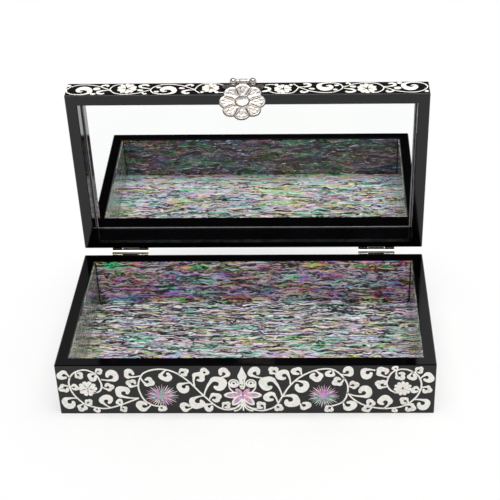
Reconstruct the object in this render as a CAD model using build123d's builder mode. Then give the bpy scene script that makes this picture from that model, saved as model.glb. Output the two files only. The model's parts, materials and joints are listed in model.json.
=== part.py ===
"""Vanity jewelry box: a black lacquered wooden case with a mirror in its hinged lid.

The frame has its origin at the middle of the underside, +X to the right, -Y to the front
and +Z up. The box stands open, as it does on a dressing table. Every piece of the lid is
drawn where it lies when the box is shut, and is then swung open about the hinge pins.
"""
import os
from math import cos, pi, radians, sin

from build123d import *

os.makedirs("parts", exist_ok=True)

# Driving sizes of the case, in millimetres and degrees
box_width = 241.0
box_depth = 124.6
base_height = 39.7
lid_height = 16.6
wall = 7.8
parting_gap = 0.3
open_angle = 87.5
corner_radius = 0.8
arris = 0.5
inner_arris = 0.4

# Bottom panel, top panel, mirror and the shell lining
bottom_thickness = 4.0
top_thickness = 1.6
rebate_width = 3.5
lining_thickness = 0.8
lining_drop = 1.0
mirror_thickness = 1.4
mirror_clearance = 0.3
mirror_bevel = 0.8

# Hinges, three knuckles each, on the back faces
hinge_inset = 32.5
hinge_offset = 3.2
side_knuckle = 6.9
middle_knuckle = 11.9
knuckle_gap = 0.15
barrel_radius = 2.1
hinge_pin_radius = 0.9
running_fit = 0.05
leaf_thickness = 1.2
leaf_height = 8.8
leaf_gap = 2.8
leaf_corner_radius = 1.0
neck_thickness = 1.3
stop_thickness = 1.5
stop_overlap = 1.0
stop_clearance = 0.04

# Countersunk screws of the hinges and flat-headed nails of the clasp
screw_spacing = 15.0
screw_radius = 1.0
screw_head_radius = 1.8
screw_depth = 5.0
nail_radius = 0.6
nail_head_radius = 1.2
nail_head_height = 0.6
nail_depth = 5.0

# Clasp: back plate, pin with ball ends and the hanging flower
clasp_offset = -2.7
clasp_height = 9.3
clasp_reach = 4.8
clasp_tilt = 20.0
plate_thickness = 1.0
plate_height = 9.0
wing_spacing = 22.4
wing_radius = 2.9
shoulder_radius = 3.2
shoulder_spacing = 12.4
ear_radius = 1.6
ear_thickness = 1.3
ball_spacing = 13.0
ball_radius = 2.45
ball_facets = 8
clasp_pin_radius = 0.8
ear_gap = 0.15
knuckle_wall = 0.85
flower_radius = 15.4
petal_count = 8
petal_radius = 5.6
flower_thickness = 1.2
flower_setback = 1.0
flower_drop = 1.85
groove_width = 0.5
groove_depth = 0.4
groove_inner_radius = 4.9
teardrop_length = 4.2
teardrop_width = 2.1
teardrop_height = 0.35
boss_radius = 4.3
boss_height = 1.3

# Places worked out from the sizes above
inner_width = box_width - 2 * wall
inner_depth = box_depth - 2 * wall
rim_z = base_height + parting_gap
lid_top_z = rim_z + lid_height
back_y = box_depth / 2
front_y = -box_depth / 2
hinge_y = back_y + hinge_offset
hinge_z = base_height + parting_gap / 2
hinge_length = 2 * side_knuckle + middle_knuckle
hinge_middles = {"left": hinge_inset - box_width / 2, "right": box_width / 2 - hinge_inset}
hinge_axis = Axis((0, hinge_y, hinge_z), (1, 0, 0))
screw_reach = leaf_gap + leaf_height / 2
clasp_bore = clasp_pin_radius + running_fit
clasp_z = rim_z + clasp_height
clasp_y = front_y - clasp_reach
clasp_axis = Axis((clasp_offset, clasp_y, clasp_z), (1, 0, 0))
ear_outer = ball_spacing / 2 - ball_radius - ear_gap
ear_inner = ear_outer - ear_thickness
flower_knuckle = 2 * (ear_inner - ear_gap)
flower_z = clasp_z - flower_drop - flower_radius
petal_centre_radius = flower_radius - petal_radius

# Planes that the pieces are drawn on
back_face = Plane(origin=(0, back_y, 0), x_dir=(-1, 0, 0), z_dir=(0, 1, 0))
front_face = Plane(origin=(clasp_offset, front_y, clasp_z), x_dir=(1, 0, 0), z_dir=(0, -1, 0))
flower_face = Plane(origin=(clasp_offset, clasp_y + flower_setback, flower_z),
                    x_dir=(1, 0, 0), z_dir=(0, -1, 0))

# A nail or screw hangs below the face that it is set in, and a head stands on it
stand = (Align.CENTER, Align.CENTER, Align.MIN)
hang = (Align.CENTER, Align.CENTER, Align.MAX)

# The four sides, with the turn that brings the front round to each
side_turns = {side: 90 * number for number, side in enumerate(("front", "right", "back", "left"))}


def finish(piece, name):
    """Label a piece that stays where it is drawn, and write it."""
    piece.part.label = name
    export_step(piece.part, f"parts/{name}.step")


def finish_on_lid(piece, name):
    """Swing a piece of the lid open about the hinge pins, label it and write it."""
    opened = piece.part.rotate(hinge_axis, -open_angle)
    opened.label = name
    export_step(opened, f"parts/{name}.step")


def side_sizes(side):
    """Give the length along one side of the box, and the size across it."""
    if side in ("front", "back"):
        return box_width, box_depth
    return box_depth, box_width


def cut_pilot_holes(height):
    """Drill the back wall for the four screws of the leaves at this height."""
    for middle in hinge_middles.values():
        with Locations(back_face.location * Location((-middle, height))):
            with GridLocations(screw_spacing, 0, 2, 1):
                Hole(screw_radius, screw_depth)


def mitred_wall(frame, side):
    """Cut one wall from the glued-up frame, along the mitres at its two ends."""
    length, across = side_sizes(side)
    outer, depth = length / 2 + wall, 2 * wall
    with BuildPart() as piece:
        add(frame.part)
        with BuildSketch(Plane.XY.rotated((0, 0, side_turns[side]))):
            with BuildLine():
                Polyline((-outer, -across / 2 - wall), (outer, -across / 2 - wall),
                         (outer - wall - depth, -across / 2 + depth),
                         (-outer + wall + depth, -across / 2 + depth), close=True)
            make_face()
        extrude(amount=lid_top_z, mode=Mode.INTERSECT)
    return piece


# Base carcass: four mitred walls, with a rebate below for the bottom panel
with BuildPart() as base_frame:
    with BuildSketch():
        RectangleRounded(box_width, box_depth, corner_radius)
        Rectangle(inner_width, inner_depth, mode=Mode.SUBTRACT)
    extrude(amount=base_height)
    rim_face = base_frame.faces().filter_by(Axis.Z).sort_by(Axis.Z)[-1]
    chamfer(rim_face.outer_wire().edges(), arris)
    rim_face = base_frame.faces().filter_by(Axis.Z).sort_by(Axis.Z)[-1]
    chamfer(rim_face.inner_wires()[0].edges(), inner_arris)
    with BuildSketch():
        Rectangle(inner_width + 2 * rebate_width, inner_depth + 2 * rebate_width)
    extrude(amount=bottom_thickness, mode=Mode.SUBTRACT)
    cut_pilot_holes(hinge_z - screw_reach)

for side in side_turns:
    finish(mitred_wall(base_frame, side), f"base_{side}_wall")

with BuildPart() as base_bottom_panel:
    with BuildSketch():
        Rectangle(inner_width + 2 * rebate_width, inner_depth + 2 * rebate_width)
    extrude(amount=bottom_thickness)
finish(base_bottom_panel, "base_bottom_panel")

# Shell lining: a sheet on each wall, and one on the floor between them
lining_height = base_height - lining_drop - bottom_thickness

for side, turn in side_turns.items():
    length, across = side_sizes(side)
    run = length - 2 * wall
    if side in ("left", "right"):
        run = run - 2 * lining_thickness
    with BuildPart() as wall_lining:
        with BuildSketch(Plane.XY.offset(bottom_thickness).rotated((0, 0, turn))):
            with Locations((0, -across / 2 + wall + lining_thickness / 2)):
                Rectangle(run, lining_thickness)
        extrude(amount=lining_height)
    finish(wall_lining, f"{side}_lining")

with BuildPart() as floor_lining:
    with BuildSketch(Plane.XY.offset(bottom_thickness)):
        Rectangle(inner_width - 2 * lining_thickness, inner_depth - 2 * lining_thickness)
    extrude(amount=lining_thickness)
finish(floor_lining, "floor_lining")

# Lid carcass: four mitred walls, with a rebate above for the top panel
with BuildPart() as lid_frame:
    with BuildSketch(Plane.XY.offset(rim_z)):
        RectangleRounded(box_width, box_depth, corner_radius)
        Rectangle(inner_width, inner_depth, mode=Mode.SUBTRACT)
    extrude(amount=lid_height)
    top_face = lid_frame.faces().filter_by(Axis.Z).sort_by(Axis.Z)[-1]
    rim_face = lid_frame.faces().filter_by(Axis.Z).sort_by(Axis.Z)[0]
    chamfer(top_face.outer_wire().edges() + rim_face.outer_wire().edges(), arris)
    rim_face = lid_frame.faces().filter_by(Axis.Z).sort_by(Axis.Z)[0]
    chamfer(rim_face.inner_wires()[0].edges(), inner_arris)
    with BuildSketch(Plane.XY.offset(lid_top_z)):
        Rectangle(inner_width + 2 * rebate_width, inner_depth + 2 * rebate_width)
    extrude(amount=-top_thickness, mode=Mode.SUBTRACT)
    cut_pilot_holes(hinge_z + screw_reach)
    with Locations(front_face.location):
        with GridLocations(wing_spacing, 0, 2, 1):
            Hole(nail_radius, nail_depth)

for side in side_turns:
    finish_on_lid(mitred_wall(lid_frame, side), f"lid_{side}_wall")

with BuildPart() as lid_top_panel:
    with BuildSketch(Plane.XY.offset(lid_top_z - top_thickness)):
        Rectangle(inner_width + 2 * rebate_width, inner_depth + 2 * rebate_width)
    extrude(amount=top_thickness)
finish_on_lid(lid_top_panel, "lid_top_panel")

# Mirror: bevelled plate glass, bedded on the top panel between the lid's walls
with BuildPart() as mirror_glass:
    with BuildSketch(Plane.XY.offset(lid_top_z - top_thickness)):
        Rectangle(inner_width - 2 * mirror_clearance, inner_depth - 2 * mirror_clearance)
    extrude(amount=-mirror_thickness)
    mirror_face = mirror_glass.faces().sort_by(Axis.Z)[0]
    chamfer(mirror_face.edges(), mirror_thickness / 3, mirror_bevel)
finish_on_lid(mirror_glass, "mirror_glass")


def knuckle_profile(start, side):
    """Draw one curl of a leaf round the pin, with the neck that runs to the plate."""
    slant = neck_thickness / 2 * cos(pi / 4)
    plate_y = hinge_y - hinge_offset
    neck_z = hinge_z + side * (leaf_gap + leaf_thickness)
    with BuildSketch(Plane.YZ.offset(start)) as profile:
        with BuildLine():
            Polyline((hinge_y - slant, hinge_z - side * slant), (hinge_y + slant, hinge_z + side * slant),
                     (plate_y + leaf_thickness, neck_z), (plate_y, neck_z),
                     (plate_y, hinge_z + side * leaf_gap), close=True)
        make_face()
        with Locations((hinge_y, hinge_z)):
            Circle(barrel_radius)
    return profile.sketch


def add_stops(middle, knuckles):
    """Add the tails that meet the base leaf and hold the lid open."""
    reach = leaf_gap + stop_overlap
    near = hinge_offset - leaf_thickness - stop_clearance
    for start, end in knuckles:
        opened = Plane(origin=(middle + start, hinge_y, hinge_z),
                       x_dir=(0, cos(radians(open_angle)), sin(radians(open_angle))),
                       z_dir=(1, 0, 0))
        with BuildSketch(opened) as tail:
            with Locations((-near, -reach)):
                Rectangle(stop_thickness, reach - barrel_radius / 2, align=(Align.MIN, Align.MIN))
        extrude(tail.sketch, amount=end - start)


def hinge_leaf(middle, side, knuckles, bore, stops=False):
    """Make one leaf: its plate lies on the back face, above the pin (1) or below it (-1)."""
    outer_face = back_face.offset(leaf_thickness)
    with BuildPart() as leaf:
        with BuildSketch(back_face):
            with Locations((-middle, hinge_z + side * screw_reach)):
                Rectangle(hinge_length, leaf_height)
        extrude(amount=leaf_thickness)
        far_end = leaf.edges().filter_by(Axis.Y).group_by(Axis.Z)[-1 if side > 0 else 0]
        fillet(far_end, leaf_corner_radius)
        for start, end in knuckles:
            extrude(knuckle_profile(middle + start, side), amount=end - start)
        if stops:
            add_stops(middle, knuckles)
        with BuildSketch(Plane.YZ.offset(middle - hinge_length / 2)):
            with Locations((hinge_y, hinge_z)):
                Circle(bore)
        extrude(amount=hinge_length, mode=Mode.SUBTRACT)
        with Locations(outer_face.location * Location((-middle, hinge_z + side * screw_reach))):
            with GridLocations(screw_spacing, 0, 2, 1):
                Cone(screw_radius, screw_head_radius, leaf_thickness, align=hang, mode=Mode.SUBTRACT)
    return leaf


def hinge_screws(height):
    """Make the four countersunk wood screws that hold the leaves at this height."""
    with BuildPart() as screws:
        for middle in hinge_middles.values():
            with Locations(back_face.location * Location((-middle, height))):
                with GridLocations(screw_spacing, 0, 2, 1):
                    Cylinder(screw_radius, screw_depth, align=hang)
            with Locations(back_face.offset(leaf_thickness).location * Location((-middle, height))):
                with GridLocations(screw_spacing, 0, 2, 1):
                    Cone(screw_radius, screw_head_radius, leaf_thickness, align=hang)
    return screws


# Hinges: the base leaf holds the middle knuckle and the pin, the lid leaf the outer two
middle_half = middle_knuckle / 2
base_knuckles = [(-middle_half, middle_half)]
lid_knuckles = [(-hinge_length / 2, -middle_half - knuckle_gap),
                (middle_half + knuckle_gap, hinge_length / 2)]

for hand, middle in hinge_middles.items():
    base_leaf = hinge_leaf(middle, -1, base_knuckles, hinge_pin_radius)
    finish(base_leaf, f"{hand}_hinge_base_leaf")
    lid_leaf = hinge_leaf(middle, 1, lid_knuckles, hinge_pin_radius + running_fit, stops=True)
    finish_on_lid(lid_leaf, f"{hand}_hinge_lid_leaf")
    with BuildPart() as hinge_pin:
        with BuildSketch(Plane.YZ.offset(middle - hinge_length / 2)):
            with Locations((hinge_y, hinge_z)):
                Circle(hinge_pin_radius)
        extrude(amount=hinge_length)
    finish(hinge_pin, f"{hand}_hinge_pin")

finish(hinge_screws(hinge_z - screw_reach), "base_hinge_screws")
finish_on_lid(hinge_screws(hinge_z + screw_reach), "lid_hinge_screws")

# Back plate of the clasp: a winged plate with two ears that carry the pin
with BuildPart() as clasp_plate:
    with BuildSketch(front_face):
        Rectangle(wing_spacing, wing_radius)
        Rectangle(shoulder_spacing, plate_height)
        with GridLocations(shoulder_spacing, 0, 2, 1):
            Circle(shoulder_radius)
        with GridLocations(wing_spacing, 0, 2, 1):
            Circle(wing_radius)
    extrude(amount=plate_thickness)
    for centre in (-(ear_inner + ear_thickness / 2), ear_inner + ear_thickness / 2):
        with BuildSketch(Plane.YZ.offset(clasp_offset + centre - ear_thickness / 2)):
            with Locations((clasp_y, clasp_z)):
                Circle(ear_radius)
                Rectangle(clasp_reach, 2 * ear_radius, align=(Align.MIN, Align.CENTER))
        extrude(amount=ear_thickness)
    with BuildSketch(Plane.YZ.offset(clasp_offset - ear_outer)):
        with Locations((clasp_y, clasp_z)):
            Circle(clasp_bore)
    extrude(amount=2 * ear_outer, mode=Mode.SUBTRACT)
    with Locations(front_face.location):
        with GridLocations(wing_spacing, 0, 2, 1):
            Hole(nail_radius, plate_thickness)
finish_on_lid(clasp_plate, "clasp_back_plate")

# Nails of the clasp, each a shank with a flat head on the wing
with BuildPart() as clasp_nails:
    with Locations(front_face.offset(plate_thickness).location):
        with GridLocations(wing_spacing, 0, 2, 1):
            Cylinder(nail_radius, plate_thickness + nail_depth, align=hang)
            Cylinder(nail_head_radius, nail_head_height, align=stand)
finish_on_lid(clasp_nails, "clasp_nails")


def finish_on_clasp(piece, name):
    """Lean a piece of the clasp in over the rim, then swing it open with the lid."""
    leaning = piece.part.rotate(clasp_axis, clasp_tilt)
    opened = leaning.rotate(hinge_axis, -open_angle)
    opened.label = name
    export_step(opened, f"parts/{name}.step")


# Pin of the clasp, with a ball turned in short flats on each end
with BuildPart() as clasp_pin:
    with BuildSketch(Plane((clasp_offset, clasp_y, clasp_z))):
        Rectangle(ball_spacing, 2 * clasp_pin_radius)
        with GridLocations(ball_spacing, 0, 2, 1):
            RegularPolygon(ball_radius, ball_facets, major_radius=False, rotation=180 / ball_facets)
        with Locations((0, -ball_radius)):
            Rectangle(2 * ball_spacing, 2 * ball_radius, mode=Mode.SUBTRACT)
    revolve(axis=clasp_axis)
finish_on_clasp(clasp_pin, "clasp_pin")

# Outline of the raised teardrop on each petal of the clasp's flower
with BuildSketch() as teardrop:
    with BuildLine():
        ThreePointArc((-teardrop_length / 2, 0), (0, teardrop_width / 2), (teardrop_length / 2, 0))
        ThreePointArc((teardrop_length / 2, 0), (0, -teardrop_width / 2), (-teardrop_length / 2, 0))
    make_face()

# Flower of the clasp: eight petals cut apart by grooves, a raised teardrop on each,
# a boss in the middle, and a knuckle above that hangs on the pin
with BuildPart() as clasp_flower:
    with BuildSketch(flower_face):
        Circle(petal_centre_radius)
        with PolarLocations(petal_centre_radius, petal_count, start_angle=90):
            Circle(petal_radius)
    extrude(amount=flower_thickness)
    with BuildSketch(flower_face.offset(flower_thickness)):
        with PolarLocations(0, petal_count, start_angle=90 + 180 / petal_count):
            with Locations((groove_inner_radius, 0)):
                Rectangle(flower_radius, groove_width, align=(Align.MIN, Align.CENTER))
    extrude(amount=-groove_depth, mode=Mode.SUBTRACT)
    with BuildSketch(flower_face.offset(flower_thickness)):
        with PolarLocations(petal_centre_radius, petal_count, start_angle=90):
            add(teardrop.sketch)
    extrude(amount=teardrop_height)
    with BuildSketch(flower_face.offset(flower_thickness / 2)):
        Circle(boss_radius)
    extrude(amount=flower_thickness / 2 + boss_height)
    with BuildSketch(flower_face):
        with Locations((0, flower_radius - petal_radius / 2)):
            Rectangle(flower_knuckle, petal_radius / 2 + flower_drop - clasp_bore - knuckle_wall / 2,
                      align=(Align.CENTER, Align.MIN))
    extrude(amount=flower_thickness)
    with BuildSketch(Plane.YZ.offset(clasp_offset - flower_knuckle / 2)):
        with Locations((clasp_y, clasp_z)):
            Circle(clasp_bore + knuckle_wall)
            Circle(clasp_bore, mode=Mode.SUBTRACT)
    extrude(amount=flower_knuckle)
finish_on_clasp(clasp_flower, "clasp_flower")
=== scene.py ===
# %% [markdown]
# # A vanity jewelry box in black lacquer, shell and mirror glass
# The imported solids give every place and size, so this lesson starts by loading them as a
# frame that never moves. Metres are Blender's unit here, and the sizes of the craft are
# given in millimetres, so one short name turns the second into the first.

# %% Load the frame
import json
import math

import bmesh
import bpy
from mathutils import Matrix, Vector


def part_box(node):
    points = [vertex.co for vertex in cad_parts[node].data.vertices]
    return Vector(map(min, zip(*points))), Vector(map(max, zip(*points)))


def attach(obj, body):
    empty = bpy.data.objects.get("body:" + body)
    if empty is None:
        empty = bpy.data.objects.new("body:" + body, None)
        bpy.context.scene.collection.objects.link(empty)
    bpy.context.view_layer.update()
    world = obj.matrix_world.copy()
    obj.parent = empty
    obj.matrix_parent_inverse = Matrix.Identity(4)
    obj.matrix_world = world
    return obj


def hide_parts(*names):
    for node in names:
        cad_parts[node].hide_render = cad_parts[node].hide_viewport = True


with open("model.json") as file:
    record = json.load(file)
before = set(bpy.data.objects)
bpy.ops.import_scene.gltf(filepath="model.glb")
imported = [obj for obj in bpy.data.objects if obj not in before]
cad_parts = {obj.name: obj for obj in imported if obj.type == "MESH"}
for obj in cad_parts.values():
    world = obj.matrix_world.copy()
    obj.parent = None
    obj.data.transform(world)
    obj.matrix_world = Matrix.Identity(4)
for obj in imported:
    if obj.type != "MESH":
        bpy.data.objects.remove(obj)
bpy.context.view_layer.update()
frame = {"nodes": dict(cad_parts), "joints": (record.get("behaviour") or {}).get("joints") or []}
nodes = frame["nodes"]
mm = 0.001

# %% [markdown]
# ## Where the lid is
# Pieces of the lid are easiest to draw where they lie when the box is shut. The hinge in
# the frame's own record then says how far to swing them, so that they meet the open lid
# exactly. The clasp leans in over the rim by the angle that its pin turns as the lid shuts.

# %% The turns of the lid and of the clasp
joints = {joint["name"]: joint for joint in frame["joints"]}


def turn_about(joint, degrees):
    """Give the matrix that turns things about a joint of the frame."""
    place = Matrix.Translation(joint["pos_m"])
    turn = Matrix.Rotation(math.radians(degrees), 4, Vector(joint["axis"]))
    return place @ turn @ place.inverted()


lid_swing = turn_about(joints["lid_hinge"], -joints["lid_hinge"]["range_deg"][1])
clasp_lean = turn_about(joints["clasp_pin_turn"], -joints["clasp_pin_turn"]["range_deg"][1])
print("lid open by", joints["lid_hinge"]["range_deg"][1], "degrees")

# %% [markdown]
# ## The camera
# The photograph was taken from in front and above, a little to the right of the middle,
# with a long lens. The focal length and the point that the lens looks at are in pixels of
# a 500 pixel picture, and the shift moves the frame instead of turning the camera.

# %% Camera
picture = 500
focal, centre_across, centre_down = 1216.1, 293.3, 225.5
camera_place = (45.7 * mm, -657.5 * mm, 525.0 * mm)
camera_yaw, camera_pitch, camera_roll = -1.323, -32.635, 0.961

camera = bpy.data.objects.new("camera", bpy.data.cameras.new("camera"))
bpy.context.scene.collection.objects.link(camera)
camera.data.lens = focal / picture * camera.data.sensor_width
camera.data.shift_x = 0.5 - centre_across / picture
camera.data.shift_y = centre_down / picture - 0.5
level = Matrix.Rotation(math.radians(-camera_yaw), 4, "Z")
tipped = level @ Matrix.Rotation(math.radians(90 + camera_pitch), 4, "X")
camera.matrix_world = (Matrix.Translation(camera_place) @ tipped
                       @ Matrix.Rotation(math.radians(-camera_roll), 4, "Z"))
bpy.context.scene.camera = camera
print("lens", round(camera.data.lens, 1), "mm")

# %% [markdown]
# ## Colours and shader nodes
# A colour is written as it looks on a screen, in hex, and turned into linear light here.
# One small function adds a node, sets it up and wires it, so that each material below
# reads as a short recipe.

# %% Colours
def linear(code):
    """Turn a hex colour of the screen into linear light."""
    parts = [int(code[i:i + 2], 16) / 255 for i in (1, 3, 5)]
    return [c / 12.92 if c <= 0.04045 else ((c + 0.055) / 1.055) ** 2.4 for c in parts] + [1.0]


print("middle grey is", round(linear("#808080")[0], 3), "of full light")


# %% Nodes and materials
def add_node(tree, kind, inputs=None, stops=None, **settings):
    """Add a node with its settings, its sockets' values or links, and its colour stops."""
    made = tree.nodes.new(kind)
    for name, value in settings.items():
        setattr(made, name, value)
    for socket, value in (inputs or {}).items():
        if isinstance(value, bpy.types.NodeSocket):
            tree.links.new(value, made.inputs[socket])
        else:
            made.inputs[socket].default_value = value
    if stops:
        bar = made.color_ramp.elements
        while len(bar) < len(stops):
            bar.new(1.0)
        for stop, (place, code) in zip(bar, stops):
            stop.position, stop.color = place, linear(code)
    return made


def new_material(name, **values):
    """Start a material, and give its node tree and its shader with these constant values."""
    material = bpy.data.materials.new(name)
    material.use_nodes = True
    tree = material.node_tree
    shader = tree.nodes["Principled BSDF"]
    for socket, value in values.items():
        shader.inputs[socket.replace("_", " ")].default_value = value
    print("material", name, values)
    return material, tree, shader


# %% [markdown]
# ## Black lacquer
# The case is basswood under sprayed polyurethane lacquer, rubbed out and polished. That
# gives a deep black with sharp reflections, so nearly all that is seen of it is what it
# mirrors. It is an ordinary dielectric, IOR 1.45. The faint ripple left by spraying is
# drawn 6 mm apart, and polishing leaves hazy patches about 25 mm across.

# %% Black lacquer
ripple_size, ripple_height, haze_size = 6 * mm, 0.1 * mm, 25 * mm

lacquer, tree, shader = new_material("polished_black_lacquer", IOR=1.45)
place = add_node(tree, "ShaderNodeTexCoord").outputs["Object"]
haze = add_node(tree, "ShaderNodeTexNoise", {"Vector": place, "Scale": 1 / haze_size, "Detail": 3.0})
tone = add_node(tree, "ShaderNodeValToRGB", {"Fac": haze.outputs["Fac"]},
                stops=[(0.3, "#020203"), (0.7, "#050406")])
gloss = add_node(tree, "ShaderNodeMapRange", {
    "Value": haze.outputs["Fac"], "From Min": 0.3, "From Max": 0.7, "To Min": 0.05, "To Max": 0.11})
ripple = add_node(tree, "ShaderNodeTexNoise", {"Vector": place, "Scale": 1 / ripple_size, "Detail": 1.0})
bump = add_node(tree, "ShaderNodeBump", {
    "Height": ripple.outputs["Fac"], "Strength": 0.06, "Distance": ripple_height})
tree.links.new(tone.outputs["Color"], shader.inputs["Base Color"])
tree.links.new(gloss.outputs["Result"], shader.inputs["Roughness"])
tree.links.new(bump.outputs["Normal"], shader.inputs["Normal"])

# %% [markdown]
# ## The shell lining
# The tray is lined with abalone: slivers of the shell are pressed into thin sheets, all
# with their length one way, under clear lacquer. Each sliver has its own tone, and a slow
# change of colour runs over many of them: violet, green, teal and rose on the walls, which
# are seen square on, and mostly grey green on the floor, where the layers are seen aslant.
# Long thin glints of white and rose along the slivers are painted highlights in the colour,
# for lifted edges catching the light, and the glue shows as dark specks. The floor is painted
# darker towards the back as painted shade, and the front sheet, seen only in the mirror, is
# a darker copy of the wall sheet, painted shade for a face turned from the lamp. Below, each
# layer of the pattern has its length along the slivers and its height across them.

# %% Layers of the abalone sheet
sliver = (13 * mm, 1.7 * mm)
grain = (6 * mm, 0.65 * mm)
speckle = (1.5 * mm, 0.45 * mm)
# painted highlights: the size of the thin glints painted into the colour
painted_glint_size = (17 * mm, 1.15 * mm)
colour_patch = (38 * mm, 9 * mm)
wander_size, wander_reach = 11 * mm, 6 * mm
sliver_step = 0.2 * mm
print("a sliver is", [round(side / mm, 1) for side in sliver], "mm")

# %% Colours of the abalone sheet
wall_hues = [(0.28, "#178a52"), (0.36, "#2f8f6c"), (0.43, "#5f68ac"), (0.49, "#9560a8"),
             (0.55, "#c0608a"), (0.60, "#b07a3c"), (0.65, "#3f8f4a"), (0.74, "#179c66")]
floor_hues = [(0.28, "#459c74"), (0.40, "#74a58c"), (0.46, "#8f98b8"), (0.51, "#b084ac"),
              (0.56, "#b09870"), (0.63, "#80a060"), (0.74, "#559c7a")]
# colours of the painted highlights along the slivers
painted_glint_hues = [(0.10, "#b9f5e6"), (0.24, "#ffffff"), (0.46, "#ffd8ea"), (0.62, "#ffffff"),
              (0.80, "#e2d6ff"), (0.92, "#fff2cc")]
tone_spread, hue_spread, speckle_share, painted_glint_edge = 0.3, 0.1, 0.55, 0.035
print("hues on the walls", len(wall_hues), "and on the floor", len(floor_hues))


# %% Abalone sheet
def abalone_sheet(name, along, tones, hues, vivid, painted_glint_start, painted_shade_to_back=0.0):
    """Make a sheet with its slivers along X (0) or Y (1), with painted shade towards the back if asked."""
    material, tree, shader = new_material(name, IOR=1.53, Coat_Weight=1.0, Coat_Roughness=0.06,
                                          Metallic=0.25)

    def layer(kind, size, moved, detail, output):
        """Draw a pattern as long and as high as this layer is on the real sheet."""
        scale = [1 / size[1]] * 3
        scale[along] = 1 / size[0]
        drawn = add_node(tree, "ShaderNodeVectorMath", {0: moved, 1: scale}, operation="MULTIPLY")
        inputs = {"Vector": drawn.outputs[0], "Scale": 1.0}
        if kind == "ShaderNodeTexNoise":
            inputs["Detail"] = detail
        return add_node(tree, kind, inputs).outputs[output]

    place = add_node(tree, "ShaderNodeTexCoord").outputs["Object"]
    wander = add_node(tree, "ShaderNodeTexNoise", {"Vector": place, "Scale": 1 / wander_size, "Detail": 2.0})
    moved = add_node(tree, "ShaderNodeVectorMath", {0: wander.outputs["Color"], 1: (wander_reach,) * 3,
                                                    2: place}, operation="MULTIPLY_ADD").outputs[0]
    each = layer("ShaderNodeTexVoronoi", sliver, moved, 0, "Color")
    own = add_node(tree, "ShaderNodeSeparateXYZ", {"Vector": each})
    fine = layer("ShaderNodeTexNoise", grain, moved, 3.0, "Fac")
    shade = add_node(tree, "ShaderNodeMath", {0: own.outputs["X"], 1: tone_spread, 2: -tone_spread / 2},
                     operation="MULTIPLY_ADD")
    level = add_node(tree, "ShaderNodeMath", {0: fine, 1: shade.outputs[0]}, operation="ADD")
    specks = layer("ShaderNodeTexNoise", speckle, moved, 2.0, "Fac")
    level = add_node(tree, "ShaderNodeMath", {0: specks, 1: speckle_share, 2: level.outputs[0]},
                     operation="MULTIPLY_ADD")
    level = add_node(tree, "ShaderNodeMath", {0: level.outputs[0], 1: speckle_share / 2},
                     operation="SUBTRACT")
    # painted shade: the tone falls towards the back, plus Y, by this much per metre
    spot = add_node(tree, "ShaderNodeSeparateXYZ", {"Vector": place})
    level = add_node(tree, "ShaderNodeMath", {0: spot.outputs["Y"], 1: -painted_shade_to_back, 2: level.outputs[0]},
                     operation="MULTIPLY_ADD")
    body = add_node(tree, "ShaderNodeValToRGB", {"Fac": level.outputs[0]}, stops=tones)
    slow = layer("ShaderNodeTexNoise", colour_patch, moved, 3.0, "Fac")
    strayed = add_node(tree, "ShaderNodeMath", {0: own.outputs["Y"], 1: hue_spread, 2: -hue_spread / 2},
                       operation="MULTIPLY_ADD")
    hue = add_node(tree, "ShaderNodeMath", {0: slow, 1: strayed.outputs[0]}, operation="ADD")
    colour = add_node(tree, "ShaderNodeValToRGB", {"Fac": hue.outputs[0]}, stops=hues)
    strength = add_node(tree, "ShaderNodeMath", {0: own.outputs["Z"], 1: vivid}, operation="MULTIPLY")
    coloured = add_node(tree, "ShaderNodeMix", {
        "Factor": strength.outputs[0], "A": body.outputs["Color"], "B": colour.outputs["Color"]},
        data_type="RGBA", blend_type="COLOR")
    # painted highlights: thin glints mixed into the base colour where this noise is high
    edge = layer("ShaderNodeTexNoise", painted_glint_size, moved, 1.5, "Fac")
    painted_glint_mask = add_node(tree, "ShaderNodeMapRange", {
        "Value": edge, "From Min": painted_glint_start, "From Max": painted_glint_start + painted_glint_edge},
        interpolation_type="SMOOTHSTEP")
    painted_glint_colour = add_node(tree, "ShaderNodeValToRGB", {"Fac": own.outputs["Y"]}, stops=painted_glint_hues)
    with_painted_glints = add_node(tree, "ShaderNodeMix", {
        "Factor": painted_glint_mask.outputs["Result"], "A": coloured.outputs["Result"],
        "B": painted_glint_colour.outputs["Color"]}, data_type="RGBA")
    tree.links.new(with_painted_glints.outputs["Result"], shader.inputs["Base Color"])
    gloss = add_node(tree, "ShaderNodeMapRange", {"Value": own.outputs["Z"], "To Min": 0.18, "To Max": 0.42})
    tree.links.new(gloss.outputs["Result"], shader.inputs["Roughness"])
    bump = add_node(tree, "ShaderNodeBump", {"Height": level.outputs[0], "Strength": 0.35,
                                             "Distance": sliver_step})
    tree.links.new(bump.outputs["Normal"], shader.inputs["Normal"])
    return material


# %% Tones of the four kinds of sheet
wall_tones = [(0.34, "#0c0f0e"), (0.43, "#50514c"), (0.50, "#928f88"), (0.57, "#d0cdc6"),
              (0.64, "#ffffff")]
floor_tones = [(0.35, "#0b0e0a"), (0.43, "#464d42"), (0.50, "#82887b"), (0.57, "#b8bcaf"),
               (0.65, "#e3e6da")]
# painted shade: a darker, duller copy of the wall sheet for the front sheet, whose face is turned from the
# lamp
front_tones_painted_darker = [(0.30, "#0a0d0b"), (0.42, "#3c403b"), (0.52, "#686c64"), (0.62, "#93978d"),
               (0.74, "#c9ccc2")]
end_tones = [(0.28, "#1c221c"), (0.42, "#5b6457"), (0.58, "#838c7a"), (0.72, "#abb3a0")]
print("tones of a wall sheet", len(wall_tones))

# %% The sheets themselves
abalone_wall = abalone_sheet("pressed_abalone_on_the_walls", 0, wall_tones, wall_hues, 1.5, 0.595)
abalone_front_with_painted_shade = abalone_sheet("pressed_abalone_on_the_front_with_painted_shade", 0, front_tones_painted_darker, wall_hues, 1.1, 0.64)
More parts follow.
